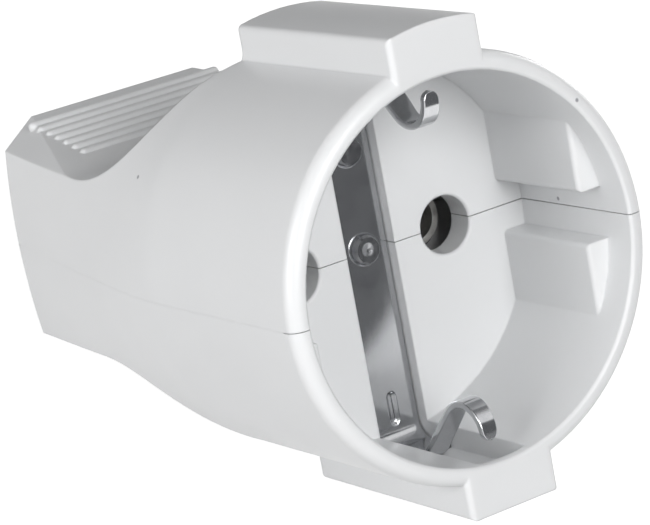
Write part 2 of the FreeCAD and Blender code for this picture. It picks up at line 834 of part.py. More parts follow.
def at_rest(pieces):
    """Tip all pieces back together and stand them on Z zero, centred over the origin."""
    for shape in pieces.values():
        shape.rotate(Vector(0, 0, 0), Vector(1, 0, 0), -rest_tilt())
    shells = Part.makeCompound([pieces["upper_shell"], pieces["lower_shell"]])
    reach = shells.optimalBoundingBox()
    middle = Vector(0, -(reach.YMin + reach.YMax) / 2, -reach.ZMin)
    for shape in pieces.values():
        shape.translate(middle)
    return pieces


def main():
    os.makedirs("parts", exist_ok=True)
    for name, shape in at_rest(all_pieces()).items():
        shape.exportStep(os.path.join("parts", name + ".step"))
        print(name, shape.isValid(), len(shape.Solids), round(shape.Volume, 1))


main()
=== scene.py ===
import json
import math

import bmesh
import bpy
from bpy.props import FloatProperty, FloatVectorProperty, PointerProperty
from mathutils import Matrix, Vector


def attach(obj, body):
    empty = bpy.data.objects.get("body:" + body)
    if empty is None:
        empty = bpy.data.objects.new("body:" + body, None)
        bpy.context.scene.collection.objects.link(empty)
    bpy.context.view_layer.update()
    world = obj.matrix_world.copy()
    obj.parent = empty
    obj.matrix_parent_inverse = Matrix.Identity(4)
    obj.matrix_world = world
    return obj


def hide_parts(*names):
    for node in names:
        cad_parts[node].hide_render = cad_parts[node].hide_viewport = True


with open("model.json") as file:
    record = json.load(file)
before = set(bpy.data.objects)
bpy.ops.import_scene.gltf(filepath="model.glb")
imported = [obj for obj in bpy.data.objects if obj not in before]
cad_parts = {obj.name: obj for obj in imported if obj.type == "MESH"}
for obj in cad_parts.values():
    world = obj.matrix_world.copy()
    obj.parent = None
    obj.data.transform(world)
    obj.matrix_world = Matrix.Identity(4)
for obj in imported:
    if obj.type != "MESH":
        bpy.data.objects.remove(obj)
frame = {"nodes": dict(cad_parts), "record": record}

bl_info = {
    "name": "Inline socket connector",
    "version": (1, 0, 0),
    "blender": (4, 5, 0),
    "location": "3D View > Sidebar > Socket",
    "description": "Finishes, fasteners, earth strap and studio for a moulded inline socket connector",
    "category": "Object",
}

MM = 0.001

# Where the connector's own parts lie along its axis, in millimetres behind the rim
STRAP_FRONT = 19.3
HOLE_MIDDLE = 19.7
STRAP_BACK = 20.0
PLATE_BACK = 22.2

# The body's side at the parting plane: control points (y, x) of the curve that follows the straight barrel, in
# millimetres, and the number of steps along the barrel
SIDE_CURVE = ((26.0, 21.5), (29.47, 21.5), (42.7, 19.43), (65.7, 15.3))
SIDE_STEPS = 20

# Dust specks on the shells, in the connector's own axes, in millimetres
SPECK_PLACES = ((-17.79, 30.71, 11.65), (19.5, 11.59, 0.6), (15.38, 0.0, 13.03))

# The moulding's edges are crisp up to the first distance from the parting plane and soft from the second, in
# millimetres
CRISP_UP_TO = 0.1
SOFT_FROM = 0.6

# The strap's section: steps across its face, and sine and cosine at the points that round a stamped edge; the
# least half width at a hook's tip and how near to the floor the strip counts as lying on it, in millimetres
FACE_STEPS = 44
EDGE_ARC = ((0.5, 0.866), (0.866, 0.5), (1.0, 0.0))
LEAST_HALF_WIDTH = 0.05
FLOOR_REACH = 0.05

# Inputs of the fastener nodes that hold a size, with their defaults in millimetres
SIZE_INPUTS = (
    ("Radius", 1.0), ("Length", 1.0), ("Thread Pitch", 1.0), ("Thread Depth", 0.0), ("Thread Start", 0.0),
    ("Slot Width", 0.0), ("Slot Depth", 0.0), ("Dimple Radius", 1.0), ("Dimple Depth", 0.0))

# A fastener with fewer faces has failed, edges sharper than this many degrees stay crisp, and a profile steps
# from one radius to the next over this share of the length
FEWEST_FACES = 100
CREASE_ANGLE = 40
SHARP_STEP = 0.004

# Slotted screws: the nodes they replace, radius and height of the head, radius of the shank, whole length, pitch
# and depth of the thread, and where the tops of the heads lie in the connector's own axes, all in millimetres
SCREWS = (
    {"name": "case_screws", "replaced": ("left_case_screw", "right_case_screw"),
     "radius": 2.9, "head": 2.0, "shank": 1.6, "length": 14.4, "pitch": 1.2, "cut": 0.38,
     "places": ((-11.2, 46.6, -8.2), (11.2, 46.6, -8.2))},
    {"name": "clamp_screws", "replaced": ("left_clamp_screw", "right_clamp_screw"),
     "radius": 2.5, "head": 1.9, "shank": 1.4, "length": 12.3, "pitch": 1.1, "cut": 0.34,
     "places": ((-8.4, 57.0, -7.3), (8.4, 57.0, -7.3))},
    {"name": "terminal_screws", "replaced": ("left_terminal_screw", "right_terminal_screw", "earth_terminal_screw"),
     "radius": 2.6, "head": 1.9, "shank": 1.5, "length": 7.4, "pitch": 0.5, "cut": 0.25,
     "places": ((-9.5, 37.5, -0.75), (9.5, 37.5, -0.75), (0.0, 26.8, -7.8))},
)

# Plain shank between a screw's head and its thread, in millimetres
THREAD_GAP = 0.6

# Steepness of a rivet's dome: 0 makes it flat, 1 half of a ball that is pressed flat
DOME_FALL = 0.65

# The studio, in metres: height of the connector's middle over the floor, and half the floor's side
MIDDLE_HEIGHT = 0.027
FLOOR_HALF = 3.0

# Numbers of a Mix node's two values and of its result, for each kind of value
MIX_SOCKETS = {"FLOAT": (2, 3, 0), "VECTOR": (4, 5, 1), "RGBA": (6, 7, 2)}


# Placing

def connector_axes():
    """Matrix from the connector's own axes to the row's, read from the record's mounts.

    X goes across the pin holes, Y from the rim back to the cord end and Z up, with zero at the rim's centre."""
    mounts = {mount["name"]: mount for mount in frame["record"]["mounts"]}
    left = Vector(mounts["left_pin_hole"]["pos_m"])
    right = Vector(mounts["right_pin_hole"]["pos_m"])
    back = -Vector(mounts["left_pin_hole"]["axis"]).normalized()
    across = (right - left).normalized()
    matrix = Matrix((across, back, across.cross(back))).transposed().to_4x4()
    matrix.translation = (left + right) / 2 - back * (HOLE_MIDDLE * MM)
    return matrix


def put_in_scene(name, data):
    """A new object with this data, at the origin."""
    thing = bpy.data.objects.new(name, data)
    bpy.context.scene.collection.objects.link(thing)
    return thing


def new_piece(name, mesh, material, replaced=()):
    """Adds a finished mesh to the part, in place of the CAD nodes that it replaces, if any."""
    piece = put_in_scene(name, mesh)
    mesh.materials.clear()
    mesh.materials.append(material)
    if replaced:
        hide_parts(*replaced)
    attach(piece, "root")
    return piece


# Nodes

def linear(code):
    """Linear colour with alpha from an sRGB hex code."""
    channels = [int(code[place:place + 2], 16) / 255 for place in (1, 3, 5)]
    return tuple(c / 12.92 if c <= 0.04045 else ((c + 0.055) / 1.055) ** 2.4 for c in channels) + (1.0,)


def add(tree, kind, inputs=None, **settings):
    """Adds a node with its settings, and sets or links its inputs by name or number."""
    node = tree.nodes.new(kind)
    for name, value in settings.items():
        setattr(node, name, value)
    for name, value in (inputs or {}).items():
        if isinstance(value, bpy.types.NodeSocket):
            tree.links.new(value, node.inputs[name])
        else:
            node.inputs[name].default_value = value
    return node


def reckon(tree, operation, *values):
    """Result of a Math node on these numbers."""
    return add(tree, "ShaderNodeMath", dict(enumerate(values)), operation=operation).outputs[0]


def mixed(tree, kind, factor, first, second):
    """The first value where the factor is 0, the second where it is 1."""
    a, b, result = MIX_SOCKETS[kind]
    return add(tree, "ShaderNodeMix", {0: factor, a: first, b: second}, data_type=kind).outputs[result]


def ranged(tree, value, start, end, at_start=0.0, at_end=1.0, **settings):
    """Number that changes as the value goes from start to end, and stays the same beyond them."""
    inputs = {"Value": value, "From Min": start, "From Max": end, "To Min": at_start, "To Max": at_end}
    return add(tree, "ShaderNodeMapRange", inputs, **settings).outputs["Result"]


def noise(tree, place, size_mm, detail=2.0, roughness=0.5):
    """Noise whose features are about this many millimetres across."""
    inputs = {"Vector": place, "Scale": 1 / (size_mm * MM), "Detail": detail, "Roughness": roughness}
    return add(tree, "ShaderNodeTexNoise", inputs).outputs["Fac"]


def between(tree, factor, low, high):
    """Number that goes evenly from low to high as the factor goes from 0.25 to 0.75, noise's usual range."""
    return reckon(tree, "MULTIPLY_ADD", factor, 2 * (high - low), low - 0.5 * (high - low))


def bumped(tree, height, depth_mm, normal=None):
    """Normal over a surface with this height map, laid over another normal if there is one."""
    inputs = {"Height": height, "Distance": depth_mm * MM, "Strength": 1.0}
    if normal is not None:
        inputs["Normal"] = normal
    return add(tree, "ShaderNodeBump", inputs).outputs["Normal"]


# Materials

def blank_material(name):
    """A new material and its empty node tree."""
    material = bpy.data.materials.new(name)
    material.use_nodes = True
    material.node_tree.nodes.clear()
    return material, material.node_tree


def started(name, **values):
    """A material with a Principled shader that has these constant values, its tree and Object coordinates."""
    material, tree = blank_material(name)
    constants = {key.replace("_", " "): value for key, value in values.items()}
    shader = add(tree, "ShaderNodeBsdfPrincipled", constants)
    add(tree, "ShaderNodeOutputMaterial", {"Surface": shader.outputs["BSDF"]}, is_active_output=True)
    place = add(tree, "ShaderNodeTexCoord").outputs["Object"]
    return material, tree, shader, place


def feed(tree, shader, **sockets):
    """Links sockets to a shader's inputs, named with _ for each space."""
    for name, socket in sockets.items():
        tree.links.new(socket, shader.inputs[name.replace("_", " ")])


def parting_distance(tree, place):
    """Distance from the plane where the two shells meet, in metres."""
    axes = connector_axes()
    up = axes.to_3x3().col[2]
    along_up = add(tree, "ShaderNodeVectorMath", {0: place, 1: tuple(up)}, operation="DOT_PRODUCT")
    level = reckon(tree, "SUBTRACT", along_up.outputs["Value"], up.dot(axes.translation))
    return reckon(tree, "ABSOLUTE", level)


def specks(tree, place, colour, speck_size):
    """Darkens a few tiny spots on the shells, where dust was caught in the melt."""
    axes = connector_axes()
    size = speck_size * MM
    for spot in SPECK_PLACES:
        middle = tuple(axes @ (Vector(spot) * MM))
        apart = add(tree, "ShaderNodeVectorMath", {0: place, 1: middle}, operation="DISTANCE").outputs["Value"]
        dark = ranged(tree, apart, size * 0.3, size * 0.6, 1.0, 0.0)
        colour = mixed(tree, "RGBA", dark, colour, linear("#95969a"))
    return colour


def moulded_plastic(settings):
    """White thermoplastic, injection moulded in a polished tool.

    It gives a clean soft gloss over rounded edges, broken by a faint waviness where the thick walls shrank, a
    slightly uneven white and a dust speck or two. Only the edges at the parting plane are crisp, because the
    two halves of the tool meet there."""
    material, tree, shader, place = started(
        "white_moulded_thermoplastic", Roughness=0.34, IOR=1.5, Subsurface_Weight=0.08, Subsurface_Scale=0.001,
        Subsurface_Radius=(1.0, 0.95, 0.9))
    white = tuple(settings.colour) + (1.0,)
    shade = tuple(channel * 0.97 for channel in settings.colour) + (1.0,)
    clouds = between(tree, noise(tree, place, settings.mottle_size), 0.0, 1.0)
    colour = specks(tree, place, mixed(tree, "RGBA", clouds, shade, white), settings.speck_size)
    sheen = between(tree, noise(tree, place, size_mm=7.0, detail=1.0), low=0.31, high=0.37)
    soft = add(tree, "ShaderNodeBevel", {"Radius": settings.edge_radius * MM}, samples=6).outputs["Normal"]
    plain = add(tree, "ShaderNodeNewGeometry").outputs["Normal"]
    away = ranged(tree, parting_distance(tree, place), CRISP_UP_TO * MM, SOFT_FROM * MM)
    edges = mixed(tree, "VECTOR", away, plain, soft)
    waves = bumped(tree, noise(tree, place, settings.wave_size, detail=0.0), settings.wave_depth, edges)
    grain = bumped(tree, noise(tree, place, size_mm=0.3, detail=1.0), depth_mm=0.0008, normal=waves)
    feed(tree, shader, Base_Color=colour, Roughness=sheen, Normal=grain)
    return material


def clamp_plastic():
    """Unpolished polyamide of the cord clamp. Its tool was spark eroded, which leaves an even, matt grain."""
    material, tree, shader, place = started("matt_moulded_polyamide", Roughness=0.6, IOR=1.53)
    grey = mixed(tree, "RGBA", noise(tree, place, size_mm=2.0), linear("#c9c8c2"), linear("#d8d7d2"))
    grain = bumped(tree, noise(tree, place, size_mm=0.25, detail=3.0), depth_mm=0.01)
    feed(tree, shader, Base_Color=grey, Normal=grain)
    return material


def rolled_strip(name, dark, light, along):
    """Bright rolled strip. The rolls leave fine lines along its length, which stretch reflections across it,
    and handling leaves paler and duller patches."""
    material, tree, shader, place = started(name, Metallic=1.0, Roughness=0.2)
    drawn_out = add(tree, "ShaderNodeMapping", {
        "Vector": place, "Rotation": along.to_euler(), "Scale": (1.0, 1.0, 0.04)})
    lines = noise(tree, drawn_out.outputs["Vector"], size_mm=0.18, detail=3.0, roughness=0.6)
    patches = noise(tree, place, size_mm=3.0, detail=3.0)
    worn = between(tree, reckon(tree, "MULTIPLY_ADD", lines, 0.5, patches), 0.0, 1.0)
    feed(tree, shader, Base_Color=mixed(tree, "RGBA", worn, dark, light),
         Roughness=between(tree, patches, low=0.13, high=0.17), Normal=bumped(tree, lines, depth_mm=0.0006))
    return material


def turned_metal(name, dark, light, rough):
    """Headed or turned steel with a thin bright plating, a little uneven where it was barrel plated."""
    material, tree, shader, place = started(name, Metallic=1.0, Roughness=rough)
    patches = between(tree, noise(tree, place, size_mm=0.9, detail=3.0), 0.0, 1.0)
    dull = between(tree, noise(tree, place, size_mm=0.5), rough * 0.8, rough * 1.25)
    grain = bumped(tree, noise(tree, place, size_mm=0.15), depth_mm=0.004)
    feed(tree, shader, Base_Color=mixed(tree, "RGBA", patches, dark, light), Roughness=dull, Normal=grain)
    return material


# Sweeps

def heading(line, index):
    """Direction of a line of points at one of them."""
    return (line[min(index + 1, len(line) - 1)] - line[max(index - 1, 0)]).normalized()


def close_sweep(shape, rings):
    """Skins a bar over these rings of corners and caps both ends."""
    for first, second in zip(rings, rings[1:]):
        for i in range(len(first)):
            j = (i + 1) % len(first)
            shape.faces.new((first[i], first[j], second[j], second[i]))
    shape.faces.new(rings[0][::-1])
    shape.faces.new(rings[-1])


def plain_mesh(name, shape):
    """Plain mesh of a closed shape, with its faces turned outwards."""
    bmesh.ops.recalc_face_normals(shape, faces=shape.faces)
    mesh = bpy.data.meshes.new(name)
    shape.to_mesh(mesh)
    shape.free()
    return mesh


# The parting line

def side_line(start, end):
    """Points (y, x) along the body's side at the parting plane, from one place along the axis to another."""
    barrel_end, barrel_radius = SIDE_CURVE[0]
    line = [(start + (barrel_end - start) * i / SIDE_STEPS, barrel_radius) for i in range(SIDE_STEPS)]
    for i in range(4 * SIDE_STEPS + 1):
        t = i / (4 * SIDE_STEPS)
        shares = ((1 - t) ** 3, 3 * t * (1 - t) ** 2, 3 * t * t * (1 - t), t ** 3)
        y = sum(share * point[0] for share, point in zip(shares, SIDE_CURVE))
        x = sum(share * point[1] for share, point in zip(shares, SIDE_CURVE))
        if y < end:
            line.append((y, x))
    return [Vector(point) for point in line]


def lip_mesh(settings):
    """The thin tongue on each side that closes the gap between the shells, just inside their outside."""
    line = side_line(settings.lip_start, settings.lip_end)
    high = settings.lip_height / 2
    section = ((settings.lip_inset, -high), (settings.lip_inset, high),
               (settings.lip_depth, high), (settings.lip_depth, -high))
    shape = bmesh.new()
    for side in (-1, 1):
        rings = []
        for index, at in enumerate(line):
            ahead = heading(line, index)
            inward = Vector((ahead.y, -ahead.x))
            spots = [(at + inward * inset, z) for inset, z in section]
            rings.append([shape.verts.new((side * spot.y * MM, spot.x * MM, z * MM)) for spot, z in spots])
        close_sweep(shape, rings)
    return plain_mesh("parting_lip", shape)


# The earth strap

def rounded_line(points, radii, step):
    """Points close together along a line whose inner corners are rounded by these radii."""
    line = [Vector(points[0])]

    def run_to(target):
        start = line[-1]
        count = max(1, math.ceil((target - start).length / step))
        line.extend(start.lerp(target, i / count) for i in range(1, count + 1))

    for before, at, after, radius in zip(points, points[1:], points[2:], radii):
        before, at, after = Vector(before), Vector(at), Vector(after)
        back, ahead = (before - at).normalized(), (after - at).normalized()
        half = back.angle(ahead) / 2
        centre = at + (back + ahead).normalized() * (radius / math.sin(half))
        first = at + back * (radius / math.tan(half))
        last = at + ahead * (radius / math.tan(half))
        run_to(first)
        arm, end_arm = first - centre, last - centre
        count = max(3, math.ceil(radius * arm.angle(end_arm) / step))
        sweep = arm.angle_signed(end_arm)
        line.extend(centre + Matrix.Rotation(-sweep * i / count, 2) @ arm for i in range(1, count + 1))
    run_to(Vector(points[-1]))
    return line


def strap_line(settings):
    """Points (y, z) along the middle of the bent strip, from the lower hook's tip to the upper one's.

    The slope of a hook follows from where its curl starts and how near to the axis it reaches."""
    lift = settings.thickness / 2
    leg_z = settings.leg_radius - lift
    foot_y = settings.foot_place
    front_y = settings.hook_front + lift
    curl = settings.curl_radius + lift
    to_curl = (front_y + curl - foot_y, settings.reach_radius + lift + curl - leg_z)
    slope = math.atan2(to_curl[1], to_curl[0]) + math.asin(curl / math.hypot(*to_curl))
    corner_z = leg_z + (front_y - foot_y) * math.tan(slope)
    upper = [(STRAP_BACK - lift, leg_z), (foot_y, leg_z), (front_y, corner_z), (front_y, settings.tip_height)]
    lower = [(y, -z) for y, z in reversed(upper)]
    bends = [curl, settings.hook_bend + lift, settings.strap_bend + lift]
    return rounded_line(lower + upper, bends + bends[::-1], settings.step)


def strap_half_width(settings, on_leg, y, to_tip):
    """Half width of the strap: full on the floor, a shoulder, then the tapering tongue with a rounded tip."""
    full, tongue = settings.width / 2, settings.tongue_width / 2
    shoulder = settings.shoulder_radius
    if y >= settings.tongue_start:
        return full
    if y > settings.tongue_start - shoulder and on_leg:
        rise = y - (settings.tongue_start - shoulder)
        return tongue + shoulder - math.sqrt(shoulder ** 2 - rise ** 2)
    share = min(to_tip / settings.taper_length, 1.0)
    tapered = settings.tip_width / 2 * (1 - share) + tongue * share
    if to_tip < tapered:
        return math.sqrt(max(tapered ** 2 - (tapered - to_tip) ** 2, LEAST_HALF_WIDTH ** 2))
    return tapered


def bead_height(settings, x, z):
    """How far the bead is pressed out of the strap here."""
    radius, sink = settings.bead_radius, settings.bead_radius - settings.bead_rise
    low, high = settings.bead_start + radius, settings.bead_end - radius
    apart = math.hypot(x, max(low - abs(z), 0.0, abs(z) - high))
    if apart >= radius:
        return 0.0
    return max(math.sqrt(radius ** 2 - apart ** 2) - sink, 0.0)


def dimple(settings, x, to_tip):
    """How far the dimple is pressed into a hook's tip here."""
    apart = math.hypot(x, to_tip - settings.tip_width * 0.6)
    share = max(1.0 - (apart / settings.dimple_radius) ** 2, 0.0)
    return settings.dimple_depth * share * share


def strap_section(settings, at, to_tip):
    """Closed outline of the strap at a point of its line, as pairs (place across, height over the line).

    Heights count towards the inside of the bent strip. The bead is pressed outwards, so the inner face has it
    as a groove, and the dimple is pressed into the outer face."""
    lift = settings.thickness / 2
    on_floor = at.x > STRAP_BACK - lift - FLOOR_REACH
    on_leg = abs(at.y) > settings.leg_radius - lift - settings.thickness
    half_width = strap_half_width(settings, on_leg, at.x, to_tip)
    soft = min(settings.edge_radius, half_width * 0.6)
    flat = half_width - soft
    across = [-half_width + soft + flat * 2 * i / FACE_STEPS for i in range(FACE_STEPS + 1)]
    beads = [bead_height(settings, x, at.y) if on_floor else 0.0 for x in across]
    outer = [(x, -(lift + (bead - dimple(settings, x, to_tip)))) for x, bead in zip(across, beads)]
    inner = [(x, lift - min(bead, lift)) for x, bead in zip(across, beads)]
    edge = [(half_width - soft * (1 - s), -lift + soft * (1 - c)) for s, c in EDGE_ARC]
    return (outer + edge + [(x, -height) for x, height in reversed(edge)]
            + inner[::-1] + [(-x, -height) for x, height in edge] + [(-x, height) for x, height in reversed(edge)])


def strap_mesh(settings):
    """One closed sweep along the bent line of the strap, from the lower hook's tip to the upper one's."""
    line = strap_line(settings)
    lengths = [0.0]
    for first, second in zip(line, line[1:]):
        lengths.append(lengths[-1] + (second - first).length)
    shape = bmesh.new()
    rings = []
    for index, at in enumerate(line):
        ahead = heading(line, index)
        inward = Vector((-ahead.y, ahead.x))
        to_tip = min(lengths[index], lengths[-1] - lengths[index])
        spots = [(x, at + inward * height) for x, height in strap_section(settings, at, to_tip)]
        rings.append([shape.verts.new((x * MM, spot.x * MM, spot.y * MM)) for x, spot in spots])
    close_sweep(shape, rings)
    mesh = plain_mesh("earth_strap_piece", shape)
    mesh.shade_smooth()
    return mesh


# Fasteners, turned by Geometry Nodes

def group_input(tree, name, kind, default=None):
    """Adds an input to a node group and gives its identifier."""
    socket = tree.interface.new_socket(name, in_out="INPUT", socket_type=kind)
    if default is not None:
        socket.default_value = default
    return socket.identifier


def turned_body(tree, given, profile):
    """A cylinder drawn in and out to the profile, with the thread cut and the dimple pressed into its top."""
    blank = add(tree, "GeometryNodeMeshCylinder", {
        "Vertices": 64, "Side Segments": 180, "Fill Segments": 14, "Radius": 1.0, "Depth": 1.0},
        fill_type="TRIANGLE_FAN")
    spot = add(tree, "GeometryNodeInputPosition").outputs[0]
    parts = add(tree, "ShaderNodeSeparateXYZ", {0: spot}).outputs
    share = reckon(tree, "SUBTRACT", 0.5, parts["Z"])
    curve = add(tree, "ShaderNodeFloatCurve", {"Value": share})
    points = curve.mapping.curves[0].points
    while len(points) < len(profile):
        points.new(0.5, 0.5)
    for point, (place, reach) in zip(points, profile):
        point.location = (place, reach)
        point.handle_type = "VECTOR"
    curve.mapping.update()

    depth = reckon(tree, "MULTIPLY", share, given["Length"])
    turns = reckon(tree, "DIVIDE", reckon(tree, "ARCTAN2", parts["Y"], parts["X"]), 2 * math.pi)
    climb = reckon(tree, "DIVIDE", depth, given["Thread Pitch"])
    groove = reckon(tree, "MULTIPLY", reckon(tree, "PINGPONG", reckon(tree, "ADD", climb, turns), 0.5), 2.0)
    cut = reckon(tree, "MULTIPLY", groove, given["Thread Depth"])
    threaded = reckon(tree, "GREATER_THAN", depth, given["Thread Start"])
    taken = reckon(tree, "MULTIPLY", cut, threaded)
    wide = reckon(tree, "MULTIPLY", curve.outputs[0], given["Radius"])
    reach = reckon(tree, "SUBTRACT", wide, taken)

    flat = add(tree, "ShaderNodeCombineXYZ", {"X": parts["X"], "Y": parts["Y"]}).outputs[0]
    out = add(tree, "ShaderNodeVectorMath", {0: flat}, operation="LENGTH").outputs["Value"]
    apart = reckon(tree, "MULTIPLY", out, reach)
    near = ranged(tree, apart, 0.0, given["Dimple Radius"], 1.0, 0.0, interpolation_type="SMOOTHSTEP")
    on_top = reckon(tree, "LESS_THAN", share, 0.001)
    sunk = reckon(tree, "MULTIPLY", near, given["Dimple Depth"])
    down = reckon(tree, "MULTIPLY_ADD", sunk, on_top, depth)
    moved = add(tree, "ShaderNodeCombineXYZ", {
        "X": reckon(tree, "MULTIPLY", parts["X"], reach), "Y": reckon(tree, "MULTIPLY", parts["Y"], reach),
        "Z": reckon(tree, "MULTIPLY", down, -1.0)}).outputs[0]
    return add(tree, "GeometryNodeSetPosition", {
        "Geometry": blank.outputs["Mesh"], "Position": moved}).outputs[0]


def slotted_body(tree, given, body):
    """The turned body with a slot sawn across its head, if the slot has a depth."""
    size = add(tree, "ShaderNodeCombineXYZ", {
        "X": reckon(tree, "MULTIPLY", given["Radius"], 3.0), "Y": given["Slot Width"],
        "Z": reckon(tree, "MULTIPLY", given["Slot Depth"], 2.0)}).outputs[0]
    cutter = add(tree, "GeometryNodeMeshCube", {"Size": size}).outputs["Mesh"]
    slotted = add(tree, "GeometryNodeMeshBoolean", {
        "Mesh 1": body, "Mesh 2": cutter}, operation="DIFFERENCE", solver="EXACT").outputs[0]
    has_slot = add(tree, "FunctionNodeCompare", {0: given["Slot Depth"], 1: 0.0}, operation="GREATER_THAN")
    return add(tree, "GeometryNodeSwitch", {
        "Switch": has_slot.outputs[0], "False": body, "True": slotted}, input_type="GEOMETRY").outputs[0]


def turned_tree(name, profile, material):
    """Geometry Nodes that turn a fastener to a profile, cut its thread and slot, and set one at each point.

    The profile gives the radius, as a share of the largest, from the top of the head to the other end. Each
    fastener is spun about its own axis by a random angle, as screws stop where they are tight."""
    tree = bpy.data.node_groups.new(name, "GeometryNodeTree")
    keys = {"Geometry": group_input(tree, "Places", "NodeSocketGeometry")}
    for label, value in SIZE_INPUTS:
        keys[label] = group_input(tree, label, "NodeSocketFloat", value * MM)
    keys["Turn"] = group_input(tree, "Turn", "NodeSocketVector", (0.0, 0.0, 0.0))
    keys["Spin"] = group_input(tree, "Spin", "NodeSocketFloat", 0.6)
    keys["Seed"] = group_input(tree, "Seed", "NodeSocketInt", 3)
    tree.interface.new_socket("Pieces", in_out="OUTPUT", socket_type="NodeSocketGeometry")
    given = add(tree, "NodeGroupInput").outputs
    one = slotted_body(tree, given, turned_body(tree, given, profile))
    copies = add(tree, "GeometryNodeInstanceOnPoints", {
        "Points": given["Places"], "Instance": one, "Rotation": given["Turn"]})
    least = reckon(tree, "MULTIPLY", given["Spin"], -1.0)
    angles = add(tree, "FunctionNodeRandomValue", {
        2: least, 3: given["Spin"], "Seed": given["Seed"]}, data_type="FLOAT").outputs[1]
    about = add(tree, "ShaderNodeCombineXYZ", {"Z": angles}).outputs[0]
    spun = add(tree, "GeometryNodeRotateInstances", {
        "Instances": copies.outputs[0], "Rotation": about, "Local Space": True})
    real = add(tree, "GeometryNodeRealizeInstances", {0: spun.outputs[0]})
    smooth = add(tree, "GeometryNodeSetShadeSmooth", {"Geometry": real.outputs[0], "Shade Smooth": True})
    finish = add(tree, "GeometryNodeSetMaterial", {"Geometry": smooth.outputs[0], "Material": material})
    add(tree, "NodeGroupOutput", {0: finish.outputs[0]})
    return tree, keys


def fasteners(name, places, turn, profile, sizes, material, replaced):
    """Runs the fastener nodes once and keeps the result as a plain mesh."""
    axes = connector_axes()
    points = bpy.data.meshes.new(name + "_places")
    points.from_pydata([axes @ (Vector(place) * MM) for place in places], [], [])
    holder = put_in_scene(name + "_holder", points)
    tree, keys = turned_tree(name + "_nodes", profile, material)
    modifier = holder.modifiers.new(name, "NODES")
    modifier.node_group = tree
    for label, value in sizes.items():
        modifier[keys[label]] = value * MM
    modifier[keys["Turn"]] = list((axes.to_3x3() @ turn).to_euler())
    bpy.context.view_layer.update()
    ready = holder.evaluated_get(bpy.context.evaluated_depsgraph_get())
    mesh = bpy.data.meshes.new_from_object(ready)
    mesh.name = name
    holder.modifiers.remove(modifier)
    bpy.data.objects.remove(holder)
    if len(mesh.polygons) < FEWEST_FACES:
        raise RuntimeError(name + ": the nodes made no fastener")
    sharpen(mesh)
    return new_piece(name, mesh, material, replaced)


def sharpen(mesh):
    """Keeps edges crisp where faces meet at more than the crease angle."""
    shape = bmesh.new()
    shape.from_mesh(mesh)
    limit = math.radians(CREASE_ANGLE)
    for edge in shape.edges:
        edge.smooth = len(edge.link_faces) == 2 and edge.calc_face_angle(0.0) < limit
    for face in shape.faces:
        face.smooth = True
    shape.to_mesh(mesh)
    shape.free()


def screw_profile(screw):
    """Radius of a slotted screw along its length: a flat head with a soft edge, then the shank with its end."""
    head = screw["head"] / screw["length"]
    shank = screw["shank"] / screw["radius"]
    taper = 1.0 - screw["shank"] * 0.5 / screw["length"]
    return [(0.0, 0.8), (0.1 * head, 0.92), (0.3 * head, 1.0), (head - SHARP_STEP, 1.0),
            (head, shank), (taper, shank), (1.0, 0.55 * shank)]


def rivet_length(settings):
    """Length of a rivet from the top of its head to the end of its tail."""
    return settings.rivet_head + PLATE_BACK - STRAP_FRONT + settings.rivet_tail


def rivet_profile(settings):
    """Radius of a rivet along its length: low dome, shank through strap, floor and plate, and its tail."""
    length = rivet_length(settings)
    shank = settings.rivet_shank / settings.rivet_radius
    head = settings.rivet_head / length
    plate = 1.0 - settings.rivet_tail / length
    dome = [(head * share, math.sqrt(1.0 - (DOME_FALL * (1.0 - share)) ** 2))
            for share in (0.0, 0.15, 0.35, 0.6, 0.85)]
    return dome + [(head - SHARP_STEP, 1.0), (head, shank),
                   (plate - SHARP_STEP, shank), (plate, 1.0), (1.0, shank)]


# Sizes and colours that a user may change

def millimetres(label, text, default, low=0.01):
    """A size in millimetres."""
    return FloatProperty(name=label, description=text + ", in millimetres", default=default, min=low, max=100.0)


def metres(label, text, default):
    """A length of the studio in metres."""
    return FloatProperty(name=label, description=text, unit="LENGTH", default=default)


def place_in_metres(label, text, default):
    """A place in metres."""
    return FloatVectorProperty(name=label, description=text, unit="LENGTH", size=3, default=default)


def direction(label, text, default):
    """A direction from the rim in the connector's own axes."""
    return FloatVectorProperty(
        name=label, description=text + ", in the connector's own axes", size=3, default=default)


def degrees(label, text, default):
    """An angle, given here in degrees."""
    return FloatProperty(name=label, description=text, subtype="ANGLE", default=math.radians(default))


def hex_colour(label, text, default):
    """A colour, given here as an sRGB hex code."""
    return FloatVectorProperty(
        name=label, description=text, subtype="COLOR", size=3, min=0.0, max=1.0, default=linear(default)[:3])


def plain_number(label, text, default):
    """A plain level, such as a lamp's power."""
    return FloatProperty(name=label, description=text, default=default)


class HousingSettings(bpy.types.PropertyGroup):
    """Look of the moulded shells, and sizes of the lip that closes their parting line"""
    colour: hex_colour("Colour", "Colour of the moulded shells", "#e0e1e2")
    mottle_size: millimetres("Mottle", "Size of the clouds in the white", 18.0)
    wave_size: millimetres("Waves", "Size of the moulding's surface waves", 12.0)
    wave_depth: millimetres("Wave depth", "Depth of the moulding's surface waves", 0.03, 0.0)
    edge_radius: millimetres("Edges", "Radius that the shading gives to the moulding's edges", 0.35)
    speck_size: millimetres("Speck size", "Size of a dark speck", 0.45)
    lip_start: millimetres("Lip start", "Where the lip in the parting line starts, behind the rim", 1.9)
    lip_end: millimetres("Lip end", "Where the lip in the parting line ends, behind the rim", 65.0)
    lip_inset: millimetres("Lip inset", "Distance of the lip from the body's side", 0.012)
    lip_depth: millimetres("Lip depth", "How far in the lip reaches", 0.6)
    lip_height: millimetres("Lip height", "Height of the lip, just under the gap between the shells", 0.098)


